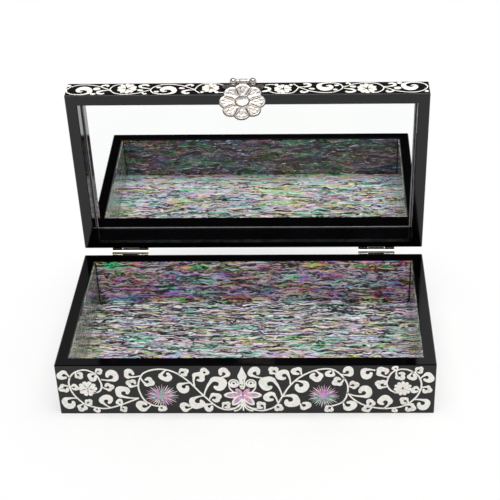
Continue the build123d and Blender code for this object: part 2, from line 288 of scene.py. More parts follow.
# the floor sheet carries painted shade towards the back
abalone_floor = abalone_sheet("pressed_abalone_on_the_floor", 0, floor_tones, floor_hues, 1.6, 0.553, 1.8)
abalone_end = abalone_sheet("pressed_abalone_on_the_ends", 1, end_tones, floor_hues, 0.35, 0.66)

# %% [markdown]
# ## The inlay
# The scrolls are cut from mother-of-pearl, the pale inside of a sea shell, about 0.2 mm
# thick. It is nearly white, with cream, rose and green that come and go over some 6 mm.
# The flowers are cut from abalone, which is pink, violet and teal. Both lie under clear
# lacquer, so they get a sharp coat over a softer body.

# %% Mother-of-pearl and abalone inlay
pearl_cloud, petal_cloud = 6 * mm, 4 * mm


def shell_inlay(name, cloud, stops):
    """Make the material of cut shell whose colour changes over this distance."""
    material, tree, shader = new_material(name, IOR=1.53, Coat_Weight=1.0, Coat_Roughness=0.05)
    place = add_node(tree, "ShaderNodeTexCoord").outputs["Object"]
    layers = add_node(tree, "ShaderNodeTexNoise", {
        "Vector": place, "Scale": 1 / cloud, "Detail": 3.0, "Distortion": 1.2})
    tone = add_node(tree, "ShaderNodeValToRGB", {"Fac": layers.outputs["Fac"]}, stops=stops)
    gloss = add_node(tree, "ShaderNodeMapRange", {
        "Value": layers.outputs["Fac"], "To Min": 0.2, "To Max": 0.45})
    tree.links.new(tone.outputs["Color"], shader.inputs["Base Color"])
    tree.links.new(gloss.outputs["Result"], shader.inputs["Roughness"])
    return material


# %% The five shells of the inlay
pearl = shell_inlay("cut_mother_of_pearl", pearl_cloud,
                    [(0.30, "#e3f2e2"), (0.42, "#fdfbf2"), (0.54, "#fffdf6"), (0.64, "#fcecea"),
                     (0.74, "#eaf3f6")])
cream_shell = shell_inlay("cut_cream_mother_of_pearl", petal_cloud,
                          [(0.30, "#f3dfe6"), (0.44, "#fbf6ea"), (0.56, "#fdfaf2"), (0.66, "#f1e3d2"),
                           (0.76, "#dcebe6")])
rose_shell = shell_inlay("cut_rose_abalone", petal_cloud,
                         [(0.30, "#58b98d"), (0.40, "#b48fd2"), (0.50, "#e08fb6"),
                          (0.60, "#f3b9cc"), (0.72, "#8f78cc")])
violet_shell = shell_inlay("cut_violet_abalone", petal_cloud,
                           [(0.35, "#a98fe0"), (0.55, "#c18ad8"), (0.75, "#e59ac6")])
green_shell = shell_inlay("cut_green_abalone", petal_cloud,
                          [(0.32, "#5d8f84"), (0.44, "#9fb0a6"), (0.54, "#8fb9a8"),
                           (0.64, "#c3a9bf"), (0.74, "#6f9aa0")])

# %% [markdown]
# ## Glass and metals
# The mirror is float glass silvered on the back, which behaves as a metal that hardly
# darkens what it reflects. The hinges are pressed brass with a thin pale plating, the
# clasp is cast zinc under bright silver plate with the grooves gone brown, and the screws
# are plain steel. A metal keeps the default IOR, and its colour is what it reflects.

# %% Metal with patches
def plated_metal(name, stops, cloud, gloss_range, tarnish=None):
    """Make a metal whose tone and gloss change in patches of this size, brown where tarnished."""
    material, tree, shader = new_material(name, Metallic=1.0)
    place = add_node(tree, "ShaderNodeTexCoord").outputs["Object"]
    patch = add_node(tree, "ShaderNodeTexNoise", {"Vector": place, "Scale": 1 / cloud, "Detail": 4.0})
    tone = add_node(tree, "ShaderNodeValToRGB", {"Fac": patch.outputs["Fac"]}, stops=stops)
    colour = tone.outputs["Color"]
    gloss = add_node(tree, "ShaderNodeMapRange", {
        "Value": patch.outputs["Fac"], "From Min": 0.3, "From Max": 0.7, "To Min": gloss_range[0],
        "To Max": gloss_range[1]})
    if tarnish:
        depth = add_node(tree, "ShaderNodeAttribute", attribute_name="tarnish")
        browned = add_node(tree, "ShaderNodeMix", {
            "Factor": depth.outputs["Fac"], "A": colour, "B": linear(tarnish)}, data_type="RGBA")
        colour = browned.outputs["Result"]
    tree.links.new(colour, shader.inputs["Base Color"])
    tree.links.new(gloss.outputs["Result"], shader.inputs["Roughness"])
    return material


# %% Mirror, brass, silver and steel
silvered_glass = plated_metal(
    "silvered_float_glass", [(0.3, "#fafcfb"), (0.7, "#fdfefd")], 60 * mm, (0.0, 0.012))
plated_brass = plated_metal(
    "plated_pressed_brass", [(0.3, "#d9cfbd"), (0.5, "#e6e1d8"), (0.7, "#f0eeea")], 9 * mm, (0.12, 0.2))
silver_plate = plated_metal(
    "silver_plated_zinc", [(0.3, "#b2a89e"), (0.5, "#c2bdb7"), (0.7, "#cfccc8")], 2.5 * mm, (0.16, 0.26))
tarnished_silver = plated_metal(
    "silver_plate_brown_in_the_grooves", [(0.3, "#b0a9a2"), (0.5, "#bab6b1"), (0.7, "#c4c1bd")],
    2.5 * mm, (0.34, 0.46), tarnish="#6a5138")
steel = plated_metal("drawn_steel", [(0.3, "#b3b4b6"), (0.7, "#cfd0d2")], 1.5 * mm, (0.2, 0.38))

# %% Ground glass
frost_size = 1.5 * mm
ground_glass, tree, shader = new_material("ground_edge_of_glass", IOR=1.52, Roughness=0.7)
place = add_node(tree, "ShaderNodeTexCoord").outputs["Object"]
frost = add_node(tree, "ShaderNodeTexNoise", {"Vector": place, "Scale": 1 / frost_size})
tone = add_node(tree, "ShaderNodeValToRGB", {"Fac": frost.outputs["Fac"]},
                stops=[(0.3, "#a9a6ab"), (0.7, "#c9c2c8")])
tree.links.new(tone.outputs["Color"], shader.inputs["Base Color"])

# %% [markdown]
# ## Dress the solids
# Every solid whose shape is right stays as it is, and only gets its finish. The sheets on
# the two ends run front to back, so their slivers lie the other way.

# %% Give each solid its finish
finishes = {"wall": lacquer, "panel": lacquer, "floor_lining": abalone_floor,
            "front_lining": abalone_front_with_painted_shade, "back_lining": abalone_wall,
            "left_lining": abalone_end, "right_lining": abalone_end,
            "mirror_glass": silvered_glass, "leaf": plated_brass, "hinge_pin": plated_brass,
            "screws": steel, "clasp": silver_plate}
for name, solid in nodes.items():
    finish = next(material for ending, material in finishes.items() if ending in name)
    solid.data.materials.clear()
    solid.data.materials.append(finish)
print("dressed", len(nodes), "solids")

# %% [markdown]
# ## Faces to inlay
# Each face that carries inlay gets a small frame of its own: millimetres to the right and
# up as one looks at the face, and out of it. Shell is cut 0.2 mm thick and let into the
# wood until it stands barely proud, so it is drawn as a thin closed plate that starts
# inside the wall.

# %% Corners when shut, and faces
def shut_box(node):
    """Give the corners of a node of the lid where it lies when the box is shut."""
    unswing = lid_swing.inverted()
    spots = [unswing @ vertex.co for vertex in nodes[node].data.vertices]
    return [Vector([pick(spot[axis] for spot in spots) for axis in range(3)]) for pick in (min, max)]


def face(origin, right, up, swing=Matrix.Identity(4)):
    """Make the matrix from millimetres on a face to metres in the row frame."""
    right, up = Vector(right), Vector(up)
    axes = Matrix((right, up, right.cross(up))).transposed().to_4x4()
    return swing @ Matrix.Translation(origin) @ axes @ Matrix.Scale(mm, 4)


# %% Frames of the inlaid faces
walls_low, walls_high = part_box("base_front_wall")
half_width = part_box("base_right_wall")[1].x
front, back = walls_low.y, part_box("base_back_wall")[1].y
lid_foot, lid_top = shut_box("lid_front_wall")[0].z, shut_box("lid_top_panel")[1].z
lid_high = (lid_top - lid_foot) / mm
pattern_foot = 0.3 * mm

front_face = face((0, front, pattern_foot), (1, 0, 0), (0, 0, 1))
left_face = face((-half_width, 0, pattern_foot), (0, -1, 0), (0, 0, 1))
right_face = face((half_width, 0, pattern_foot), (0, 1, 0), (0, 0, 1))
lid_front = face((0, front, lid_foot), (1, 0, 0), (0, 0, 1), lid_swing)
lid_left = face((-half_width, 0, lid_foot), (0, -1, 0), (0, 0, 1), lid_swing)
lid_right = face((half_width, 0, lid_foot), (0, 1, 0), (0, 0, 1), lid_swing)
print("front face", round(2 * half_width / mm, 1), "x", round(walls_high.z / mm, 1), "mm, lid",
      round(lid_high, 1), "mm high")

# %% [markdown]
# ## Cutting shell: lines, strips and plates
# A scroll is a bent strip of changing width, and a petal is a flat plate. A smooth line
# through a few given points gives the strip its sweep. Each piece is a closed
# solid, like the cut shell itself, so it also holds up as a mesh on its own.

# %% Smooth lines
proud, let_in, hair = 0.02, 0.17, 0.0015


def smooth_line(points, steps=7):
    """Run a smooth line through given points, as a thin batten bends round pins."""
    points = [Vector(p) for p in points]
    chain = [2 * points[0] - points[1]] + points + [2 * points[-1] - points[-2]]
    line = []
    for a, b, c, d in zip(chain, chain[1:], chain[2:], chain[3:]):
        for step in range(steps):
            t = step / steps
            line.append(0.5 * (2 * b + (c - a) * t + (2 * a - 5 * b + 4 * c - d) * t ** 2
                               + (3 * b - a - 3 * c + d) * t ** 3))
    return line + [points[-1]]


print("a line through 3 pins has", len(smooth_line([(0, 0), (1, 1), (2, 0)])), "points")


# %% Cut strips and plates
def lay_strip(shell, place, line, halves, lift=0.0):
    """Lay a closed strip along a line of a face. halves gives half its width at each point."""
    rows = []
    for index, point in enumerate(line):
        ahead = line[min(index + 1, len(line) - 1)] - line[max(index - 1, 0)]
        across = Vector((-ahead.y, ahead.x)).normalized() * halves[index]
        rows.append([shell.verts.new(place @ Vector((*(point + side * across), height)))
                     for height in (proud + lift, -let_in) for side in (1, -1)])
    for near, far in zip(rows, rows[1:]):
        for a, b in ((0, 1), (1, 3), (3, 2), (2, 0)):
            shell.faces.new((near[a], near[b], far[b], far[a]))
    for row in (rows[0], rows[-1]):
        shell.faces.new([row[corner] for corner in (0, 1, 3, 2)])


def lay_line(shell, place, points, half, lift=0.0):
    """Lay a strip of even width along a smooth line."""
    line = smooth_line(points)
    lay_strip(shell, place, line, [half] * len(line), lift)


def lay_plate(shell, place, outline, lift=0.0):
    """Lay a closed plate with this outline on a face."""
    upper, lower = ([shell.verts.new(place @ Vector((x, y, height))) for x, y in outline]
                    for height in (proud + lift, -let_in))
    shell.faces.new(upper)
    shell.faces.new(lower[::-1])
    for index in range(len(outline)):
        shell.faces.new((lower[index - 1], lower[index], upper[index], upper[index - 1]))


print("shell stands", proud, "mm proud and is let in", let_in, "mm")


# %% Named pieces
def finish_piece(shell, name, material, body, smooth=False):
    """Turn drawn geometry into a named piece that rides on a body of the frame."""
    bmesh.ops.recalc_face_normals(shell, faces=shell.faces)
    mesh = bpy.data.meshes.new(name)
    shell.to_mesh(mesh)
    shell.free()
    mesh.materials.append(material)
    piece = bpy.data.objects.new(name, mesh)
    bpy.context.scene.collection.objects.link(piece)
    if smooth:
        mesh.shade_smooth()
        mesh.set_sharp_from_angle(angle=math.radians(50))
    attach(piece, body)
    print(name, len(mesh.polygons), "faces")
    return piece


def heading(degrees):
    """Give the unit step at this angle, counted from the right."""
    return Vector((math.cos(math.radians(degrees)), math.sin(math.radians(degrees))))


# %% [markdown]
# ## The comma leaf
# Nearly every leaf of the scroll is one form: a stem leaves the vine, bends, swells, and
# curls round a small dark eye. It is one strip whose inner edge winds in to the eye and
# whose outer edge runs out in two or three soft lobes. The stem runs in along the curl,
# which is what makes the branch look grown and not stuck on. A large leaf is opener and
# smoother than a small one. Where two pieces cross, one lies a hair higher, as the glue
# leaves them.

# %% Comma leaf
leaf_sweep, leaf_lead = 258, 14
common_leaf, common_belly, common_eye = 8.0, 1.62, 1.08
lobe_share, stem_half = 0.04, 0.46
leaf_steps, root_tries = 18, 3


def comma_leaf(root, middle, size, turn, lobes=2):
    """Give the line and half widths of a leaf that curls left (1) or right (-1)."""
    root, middle = Vector(root), Vector(middle)
    scale = size / common_leaf
    belly = common_belly * scale ** 0.75
    wide_eye, eye_end = common_eye * scale ** 1.5, common_eye * min(1, scale)
    growth = belly - stem_half
    joint_half = stem_half + 0.3 * growth
    eye = middle
    for _ in range(root_tries):
        stem = root - eye
        reach = min(1, (wide_eye + joint_half) / max(stem.length, 0.01))
        start = math.degrees(math.atan2(stem.y, stem.x) + turn * math.acos(reach)) + turn * leaf_lead
        eye = middle - 0.14 * size * heading(start + turn * 0.42 * leaf_sweep)
    joint = eye + (wide_eye + joint_half) * heading(start)
    bend = joint - 0.45 * (joint - root).length * turn * heading(start + 90)
    line = [root * (1 - t) ** 2 + bend * 2 * t * (1 - t) + joint * t ** 2 for t in (0, 0.25, 0.5, 0.75)]
    halves = [stem_half * 1.25, stem_half, stem_half + 0.08 * growth, stem_half + 0.18 * growth]
    for step in range(leaf_steps + 1):
        t = step / leaf_steps
        swell = math.sin(math.pi * (0.1 + 0.8 * t))
        lobe = lobe_share * min(size, common_leaf ** 2 / size) * math.cos(2 * math.pi * lobes * (t - 0.12))
        half = stem_half + (growth + lobe) * swell
        inner = eye_end + (wide_eye - eye_end) * (1 - t) ** 1.5
        line.append(eye + (inner + half) * heading(start + turn * leaf_sweep * t))
        halves.append(half)
    onward = turn * heading(start + turn * leaf_sweep + 90) * halves[-1]
    line += [line[-1] + onward * 0.5, line[-1] + onward * 0.8]
    return line, halves + [halves[-1] * 0.75, halves[-1] * 0.3]


print("a common leaf is drawn with", len(comma_leaf((0, 0), (0, 8), common_leaf, 1)[0]), "points")


# %% Leaves along a vine
def grow_leaves(shell, place, lines, leaves, shift=0.0):
    """Lay each leaf from its own root, or else from the nearest point of the lines."""
    for number, leaf in enumerate(leaves):
        middle, size, turn = Vector(leaf[:2]), leaf[2], leaf[3]
        spots = [Vector(leaf[4:])] if len(leaf) > 4 else [spot for line in lines for spot in line]
        root = min(spots, key=lambda spot: (spot - middle).length)
        line, halves = comma_leaf(root, middle, size, turn, 2 + number % 2)
        moved = [spot + Vector((shift, 0)) for spot in line]
        lay_strip(shell, place, moved, halves, lift=hair * (number % 7))


# %% [markdown]
# ## The vines of the front
# The scroll on the front was set out from the photograph: two loops either side
# of a lotus, each round a flower. The lists give points of each vine in millimetres from
# the middle of the lower edge, and for each leaf its middle, its size, the way it curls
# and, where it isn't the nearest point, its root.

# %% Left half of the front scroll
vine_half = 0.55
left_vines = [
    [(-97.5, 17), (-94, 18), (-92, 21.5), (-92.3, 26), (-95, 32.3), (-101.5, 35.8), (-109, 33),
     (-112.5, 26), (-111, 17), (-104.5, 8), (-96.5, 4.6), (-90, 4), (-82, 6.5), (-69, 12.5)],
    [(-55.5, 5.5), (-61, 7), (-66, 12), (-68.5, 22), (-66, 31), (-61.5, 34.8), (-55, 36.3),
     (-48.5, 35.5), (-42, 32), (-35.5, 25.5), (-29.5, 17.5), (-23, 9.5), (-18.5, 5), (-13.5, 2.8),
     (-8, 3.5), (-4, 7.5)],
]
left_leaves = [
    (-116, 32, 8.5, 1), (-116.5, 21, 7.5, 1), (-115, 8.5, 12, 1, -108.2, 12.5), (-106.5, 4.5, 7, 1),
    (-97, 2.5, 4.5, 1), (-105.5, 31, 6, 1), (-97.5, 30, 7, 1), (-92.5, 35, 5, -1),
    (-109, 22, 5.5, -1), (-101.5, 9.5, 5.5, -1), (-84, 31, 11.5, 1, -91.5, 28), (-87, 21.5, 7, 1),
    (-90.5, 11.5, 11, -1, -87.5, 4.5), (-79.5, 18, 12.5, -1, -69, 12.5), (-74, 32.5, 8.5, -1, -66.5, 31),
    (-73, 24.5, 7.5, -1), (-82, 9.5, 5, -1), (-79.5, 3, 5, 1), (-67.5, 5.5, 10.5, -1, -61.5, 7),
    (-61.5, 25.5, 8.5, 1, -66.5, 29.5), (-51, 30, 10, 1, -49.5, 35.8), (-38.8, 34.3, 7, -1, -42, 32),
    (-40.5, 21, 10.5, 1, -34.5, 25), (-29.5, 30.5, 10, -1, -32.5, 22.5), (-25.2, 34.3, 6.3, 1, -28, 31),
    (-17, 25, 15.5, -1, -27, 14.5), (-12.8, 33.5, 9, 1, -17.5, 29), (-32.3, 8.2, 13.5, 1, -27, 14.5),
    (-39.9, 4.6, 8.5, -1, -35, 5), (-19.5, 13.5, 9, -1, -24, 10), (-25, 4.8, 7.5, 1, -21, 7.5),
    (-13.1, 7, 6.5, -1, -15.5, 3), (-54.5, 3.5, 6, 1),
]
print("vines on the left", len(left_vines))

# %% Right half of the front scroll
right_vines = [
    [(-1, 7.5), (3, 3.5), (8, 2), (13, 2.5), (19, 6), (22.5, 12.5), (28, 22.5), (35, 30),
     (44, 35), (53.5, 36.3), (60, 32), (64.5, 24), (64.5, 15.5), (61.5, 9), (54.5, 5.5)],
    [(64.5, 17), (69, 11), (76.5, 6), (86.5, 3.7), (94, 4), (101.5, 6.2), (108.5, 13),
     (111.5, 22), (109.5, 30), (104, 34.8), (97.5, 35.8), (92, 32.5), (89.5, 25), (91.5, 19.5),
     (95.5, 16.5)],
]
right_leaves = [
    (5.2, 34, 10, -1, 10.5, 29), (17.5, 35, 7, -1, 22, 32.5), (23.5, 32, 11, 1, 28.5, 24),
    (13.5, 25, 15.5, 1, 23, 14.5), (32.6, 35, 7.5, 1, 35.5, 31.5), (45.4, 29.8, 10, -1, 44, 35),
    (53.8, 32, 6.5, -1, 55, 36), (58.3, 25.5, 8, -1, 62.5, 29), (65.5, 34, 9, 1, 60.5, 32),
    (69, 23, 7, 1), (76, 32.5, 10.5, 1, 82, 35), (86, 34, 9.5, -1, 90.5, 29.5), (94.5, 37, 4, 1),
    (97.8, 30, 7.5, 1, 95.5, 35), (105, 29.5, 6.5, 1, 106, 34), (109.5, 35.5, 6, -1),
    (115.8, 29.5, 9.5, -1), (115.5, 19.5, 7, -1), (107.5, 19.5, 6, 1), (85.5, 23.5, 8.5, -1, 90, 22),
    (76.5, 17.5, 12.5, 1, 66, 15.5), (89, 10.5, 12, 1, 88, 3.7), (80, 8.5, 6.5, 1, 78.5, 5.5),
    (101, 10.5, 6.5, 1), (114, 6.8, 11.5, -1, 106.5, 11), (105.5, 4.5, 8, -1, 101, 6),
    (95, 1.8, 3.5, 1), (77, 3, 6.5, -1, 80.5, 4.8), (66.5, 5.5, 11, 1, 62, 9.5), (52.5, 3.5, 6.5, 1),
    (36.2, 21.8, 12.5, -1, 31.5, 26.5), (29.8, 10, 14.5, -1, 22.8, 13.5), (37.8, 5.5, 8, 1, 34.5, 8),
    (21, 4.5, 6.5, -1, 18.5, 6), (15, 14, 10, 1, 20, 9), (9.4, 6.8, 7, 1, 11.5, 2.6),
]
print("leaves on the front", len(left_leaves) + len(right_leaves))


# %% Front scroll
def grow_scroll(shell, place, vines, leaves, shift=0.0):
    """Lay vines of even width and then their leaves, moved along the face by the shift."""
    lines = [smooth_line(vine) for vine in vines]
    for line in lines:
        moved = [spot + Vector((shift, 0)) for spot in line]
        lay_strip(shell, place, moved, [vine_half] * len(moved))
    grow_leaves(shell, place, lines, leaves, shift)


scroll = bmesh.new()
grow_scroll(scroll, front_face, left_vines, left_leaves)
grow_scroll(scroll, front_face, right_vines, right_leaves)
finish_piece(scroll, "front_scroll", pearl, "base")

# %% [markdown]
# ## Blossoms
# A blossom is a ring of petals that nearly touch, with only the saw cut between them. The
# rim of a petal runs in one or two lobes. The left blossom has five petals of two lobes,
# and the right one has eleven of one lobe with a smaller ring on top.

# %% Petals
petal_steps, saw_cut = 20, 0.07


def petal(centre, angle, inner, outer, half, point=1.0):
    """Draw a leaf shaped petal. point above 1 sharpens both ends."""
    along = heading(angle)
    across = Vector((-along.y, along.x))
    middle, reach = (outer + inner) / 2, (outer - inner) / 2
    outline = []
    for step in range(petal_steps):
        t = 2 * math.pi * step / petal_steps
        wide = half * abs(math.sin(t)) ** point * math.copysign(1, math.sin(t))
        outline.append(Vector(centre) + along * (middle + reach * math.cos(t)) + across * wide)
    return outline


# %% Blossoms of the front
def lay_blossom(shell, place, centre, radius, petals, lobes=1, inner=0.12, start=90, lift=0.0):
    """Lay a ring of lobed petals round an eye."""
    centre = Vector(centre)
    for number in range(petals):
        middle = start + 360 * number / petals
        spread = 360 / petals - math.degrees(saw_cut / (0.6 * radius))
        outline = [centre + inner * radius * heading(middle)]
        for step in range(6 * lobes + 1):
            t = step / (6 * lobes)
            rim = radius * (0.8 + 0.2 * abs(math.sin(math.pi * lobes * t)) ** 0.55)
            outline.append(centre + rim * heading(middle - spread / 2 + spread * t))
        lay_plate(shell, place, outline, lift)


def lay_disc(shell, place, centre, radius, lift=0.0):
    """Lay a small round plate."""
    around = [360 * step / petal_steps for step in range(petal_steps)]
    lay_plate(shell, place, [Vector(centre) + radius * heading(angle) for angle in around], lift)


left_blossom, right_blossom = (-101, 20.5, 6.2, 5, 2), (99.8, 20.3, 5.8, 11, 1)
heart_sizes, heart_lift = ((1.9, 5), (3.5, 8)), 0.01
blossoms, hearts = bmesh.new(), bmesh.new()
for (across, up, radius, petals, lobes), heart in zip((left_blossom, right_blossom), heart_sizes):
    lay_blossom(blossoms, front_face, (across, up), radius, petals, lobes)
    lay_blossom(hearts, front_face, (across, up), *heart, lift=heart_lift)
finish_piece(blossoms, "front_blossoms", pearl, "base")
finish_piece(hearts, "front_blossom_hearts", cream_shell, "base")

# %% [markdown]
# ## Thistles
# The thistle is a burst of needles in three rings, the inner ones over the outer. The
# cutter turns each sheet of abalone until its colour suits, so one part of a thistle is
# rose or violet and another green, and the outer needles are nearly white.

# %% Thistles
thistle_rings = ((0.4, 1.0, 0.3, 33), (0.2, 0.76, 0.32, 24), (0.16, 0.5, 0.36, 16))
thistle_heart = 1.9
print("needles of a thistle", sum(needles for *sizes, needles in thistle_rings))


def lay_thistle(shells, place, centre, wide, tall, colour_at):
    """Lay the needles of a thistle, each in the shell that colour_at gives for its angle."""
    lay_disc(shells[colour_at(90, 2)], place, centre, thistle_heart, lift=6 * hair)
    for ring, (inner, reach, half, needles) in enumerate(thistle_rings):
        for number in range(needles):
            angle = 360 * (number + 0.5 * ring) / needles
            way = Vector((wide / 2 * heading(angle).x, tall / 2 * heading(angle).y))
            tip = reach * (0.88 if number % 2 else 1.0)
            colour = "white" if ring == 0 and number % 3 == 0 else colour_at(angle, ring)
            line = [Vector(centre) + way * (inner + (tip - inner) * t) for t in (0, 0.3, 0.7, 1)]
            lay_strip(shells[colour], place, line, [half * 0.5, half, half * 0.7, 0.1], lift=2 * hair * ring)


# %% Shell of the thistles
def left_thistle_colour(angle, ring):
    """Give the left thistle green above and below, and rose to the sides."""
    if ring == 0:
        return "white" if 20 <= angle < 60 or 230 <= angle < 260 else "rose"
    return "green" if 60 <= angle < 120 or 235 <= angle < 285 else "rose"


def right_thistle_colour(angle, ring):
    """Give the right thistle violet inside, rose above and green below."""
    if ring == 2 and angle < 180:
        return "violet"
    return "rose" if angle < 180 or (ring == 0 and 245 <= angle < 290) else "green"


thistle_shells = {"rose": rose_shell, "green": green_shell, "white": cream_shell, "violet": violet_shell}
left_thistle, right_thistle = (-54, 14.5, 21.5, 19), (49.5, 14, 20, 19)


# %% Thistles of the front
def finish_thistles(needles, name, body):
    """Finish the needles of each kind of shell as a piece of their own."""
    for colour, material in thistle_shells.items():
        finish_piece(needles[colour], f"{name}_{colour}", material, body)


front_needles = {colour: bmesh.new() for colour in thistle_shells}
for (across, up, wide, tall), colour_at in ((left_thistle, left_thistle_colour),
                                            (right_thistle, right_thistle_colour)):
    lay_thistle(front_needles, front_face, (across, up), wide, tall, colour_at)
finish_thistles(front_needles, "front_thistles", "base")

# %% [markdown]
# ## The lotus
# The lotus has a petal to each side and two below, all rose shell inside a white border,
# two short rose petals under a pair of round scrolls, and a tall pointed petal with five
# pierced dots. A stalk and two strands to each side run from its foot into the vines.

# %% Lotus
long_petals = ((-3, 12.2, 2.7), (183, 12.2, 2.7), (-52, 11.2, 2.6), (232, 11.2, 2.6))
short_petals = ((48, 6.6, 1.5), (132, 6.6, 1.5), (-90, 3.6, 1.1))
half_crown = [(0.9, 19.8), (1.9, 22.5), (1.9, 27), (2.9, 30.3), (1.6, 34), (0.1, 38.2)]
pierced_dots = ((0.5, 27.4, 0.5), (0.9, 25.2, 0.42), (-1.1, 23.4, 0.55), (0.5, 23.3, 0.5),
                (-0.3, 21.0, 0.42))
upper_strand = ((0.4, 11), (1.6, 7.2), (4.6, 4.4), (8.8, 3.4))
lower_strand = ((0.5, 8), (1.5, 4.6), (3.6, 2.4), (6.2, 1.7))
scroll_rim = (185, 150, 120, 90, 60, 30, -5)
stalk_half, border_width, petal_hair = 0.5, 1.15, 0.0006


def lay_lotus(white, rose, dark, place, foot):
    """Lay a lotus 38 mm tall whose stalk ends at this point of a face."""
    foot = Vector(foot)
    heart = foot + Vector((0, 15.4))
    for number, (angle, reach, half) in enumerate(long_petals):
        step = petal_hair * number
        white_petal = petal(heart, angle, 0.5, reach, half, 1.15)
        rose_petal = petal(heart, angle, 1.6, reach - 1.8, half - border_width, 1.1)
        lay_plate(white, place, white_petal, lift=0.0004 + step)
        lay_plate(rose, place, rose_petal, lift=0.0082 + step)
    for number, (angle, reach, half) in enumerate(short_petals):
        short_petal = petal(heart, angle, 0.4, reach, half, 1.1)
        lay_plate(rose, place, short_petal, lift=0.0058 + petal_hair * number)
    crown = smooth_line(half_crown, 4)
    crown += [Vector((-spot.x, spot.y)) for spot in reversed(crown)]
    lay_plate(white, place, [foot + spot for spot in crown])
    for across, up, size in pierced_dots:
        lay_disc(dark, place, foot + Vector((across, up)), size, lift=0.006)
    for side in (-1, 1):
        eye = foot + Vector((side * 5.5, 24.6))
        lay_disc(white, place, eye, 3.5, lift=0.002)
        lay_line(dark, place, [eye + 2.2 * heading(angle) for angle in scroll_rim], 0.24, 0.006)
        lay_disc(dark, place, eye + Vector((0, 0.1)), 0.75, lift=0.006)
        lay_line(white, place, [eye + Vector((side * across, up))
                                for across, up in ((3.0, -0.5), (2.6, -4), (0.6, -7))], stalk_half, 0.004)
        for strand, half, lift in ((upper_strand, stalk_half, 0.0037), (lower_strand, 0.55, 0.0052)):
            lay_line(white, place, [foot + Vector((side * across, up)) for across, up in strand], half, lift)
    lay_line(white, place, [foot + Vector((0, up)) for up in (11.5, 7, 2)], stalk_half, 0.0098)


white, rose, dark = bmesh.new(), bmesh.new(), bmesh.new()
lay_lotus(white, rose, dark, front_face, (-2.1, 0))
finish_piece(white, "front_lotus_white", pearl, "base")
finish_piece(rose, "front_lotus_rose", rose_shell, "base")
finish_piece(dark, "front_lotus_dots", lacquer, "base")

# %% [markdown]
# ## The lid's border
# The lid's front carries a running scroll. A vine passes under one blossom, winds round a
# large comma leaf, passes over the next blossom and winds round a second leaf. Small curls
# and buds fill the room between, and black shows round every one of them. The left half is
# the right half turned half round, and the clasp covers the middle. Curls and coils give
# half the strip's width as a third number.

# %% Vines, leaves and buds of the lid border
border_vines = [
    [(14, 4.6), (18.2, 1.9), (23, 1.2), (27.5, 1.3), (30.1, 2.2), (32, 4.5), (33.2, 7.2), (33.8, 9.7),
     (32.3, 12), (30.4, 14.2)],
    [(11.8, 12.7), (14.9, 13.6), (18.4, 13.4)],
    [(63.1, 9), (66.5, 11.1), (70.3, 13.4), (76, 14.9), (79.8, 15.2), (83.3, 14.9), (86.4, 13.8),
     (88.8, 11.5), (90.2, 8.8), (89.9, 6.3), (88.3, 3.8), (85.9, 2.2), (82.5, 1.6)],
]
leaf_places, fork_places = (51.6, 107.6), (33.8, 90.2)
border_blossoms = ((23.6, 5.9), (79.1, 6.6))
border_half, blossom_height, leaf_height, left_shift = 0.42, 7.4, 8.3, 0.8
coil = [(-17.8, 1.4, 0.42), (-15.5, -0.2, 0.42), (-12.9, -2.0, 0.42), (-9.8, -4.0, 0.42), (-5.1, -5.6, 0.42),
        (-0.3, -6.3, 0.42), (4.4, -5.9, 0.42), (7.5, -4.5, 0.42), (10.1, -2.2, 0.42), (11.5, 0.3, 0.45),
        (11.2, 2.8, 0.45), (9.8, 5.0, 0.45), (7.4, 6.3, 0.5), (4.3, 6.9, 0.5), (0.9, 6.9, 0.6),
        (-2.0, 6.0, 0.9), (-3.9, 4.4, 1.45), (-4.1, 2.2, 1.8), (-3.0, 0.0, 2.1), (-0.8, -1.3, 2.35),
        (1.8, -1.1, 2.2), (3.5, 0.4, 1.85), (3.8, 2.0, 1.4), (2.8, 3.2, 0.95), (1.5, 3.2, 0.6),
        (0.6, 2.6, 0.35)]
fork_curls = [
    [(0.2, 9.8, 0.35), (2.8, 9.9, 0.45), (5.4, 10.4, 0.85), (7.3, 11.5, 1.15), (7.5, 13.1, 1.15),
     (6.2, 14.2, 0.95), (4.6, 14.3, 0.85), (3.4, 13.5, 0.7)],
    [(6.4, 5.6, 0.45), (6.1, 4.0, 0.7), (4.6, 2.8, 0.9), (2.9, 2.7, 1.0), (1.9, 3.7, 0.9), (2.7, 4.7, 0.6)],
]
lone_curls = [
    [(67.9, 12.4, 0.4), (68.1, 13.9, 0.55), (66.8, 14.9, 0.75), (65.4, 14.3, 0.7)],
    [(63.9, 7.9, 0.4), (66.5, 7.1, 0.55), (69.3, 6.3, 0.9), (71.0, 4.3, 1.0), (69.1, 2.7, 1.0),
     (66.4, 2.7, 1.0), (64.9, 4.0, 0.75)],
    [(9.8, 4.2, 0.6), (11.5, 4.3, 1.0), (13.9, 5.3, 1.1), (15.0, 7.3, 1.0), (13.2, 9.4, 0.9), (11, 9.8, 0.8),
     (9.9, 8.2, 0.7)],
]
buds = [(42.7, 7.4, 4.0, 1.15, -8), (59.2, 11.9, 3.4, 1.05, 8), (58.2, 6.0, 3.3, 1.15, -10),
        (70.0, 10.0, 4.2, 1.3, -8), (99.3, 7.6, 4.8, 1.8, 5), (100.9, 14.5, 3.8, 1.2, 0),
        (118.2, 3.2, 2.6, 1.3, 60), (19.3, 13.0, 2.6, 1.3, 0), (28.9, 12.8, 2.4, 1.2, 30)]
print("buds in half a border", len(buds))


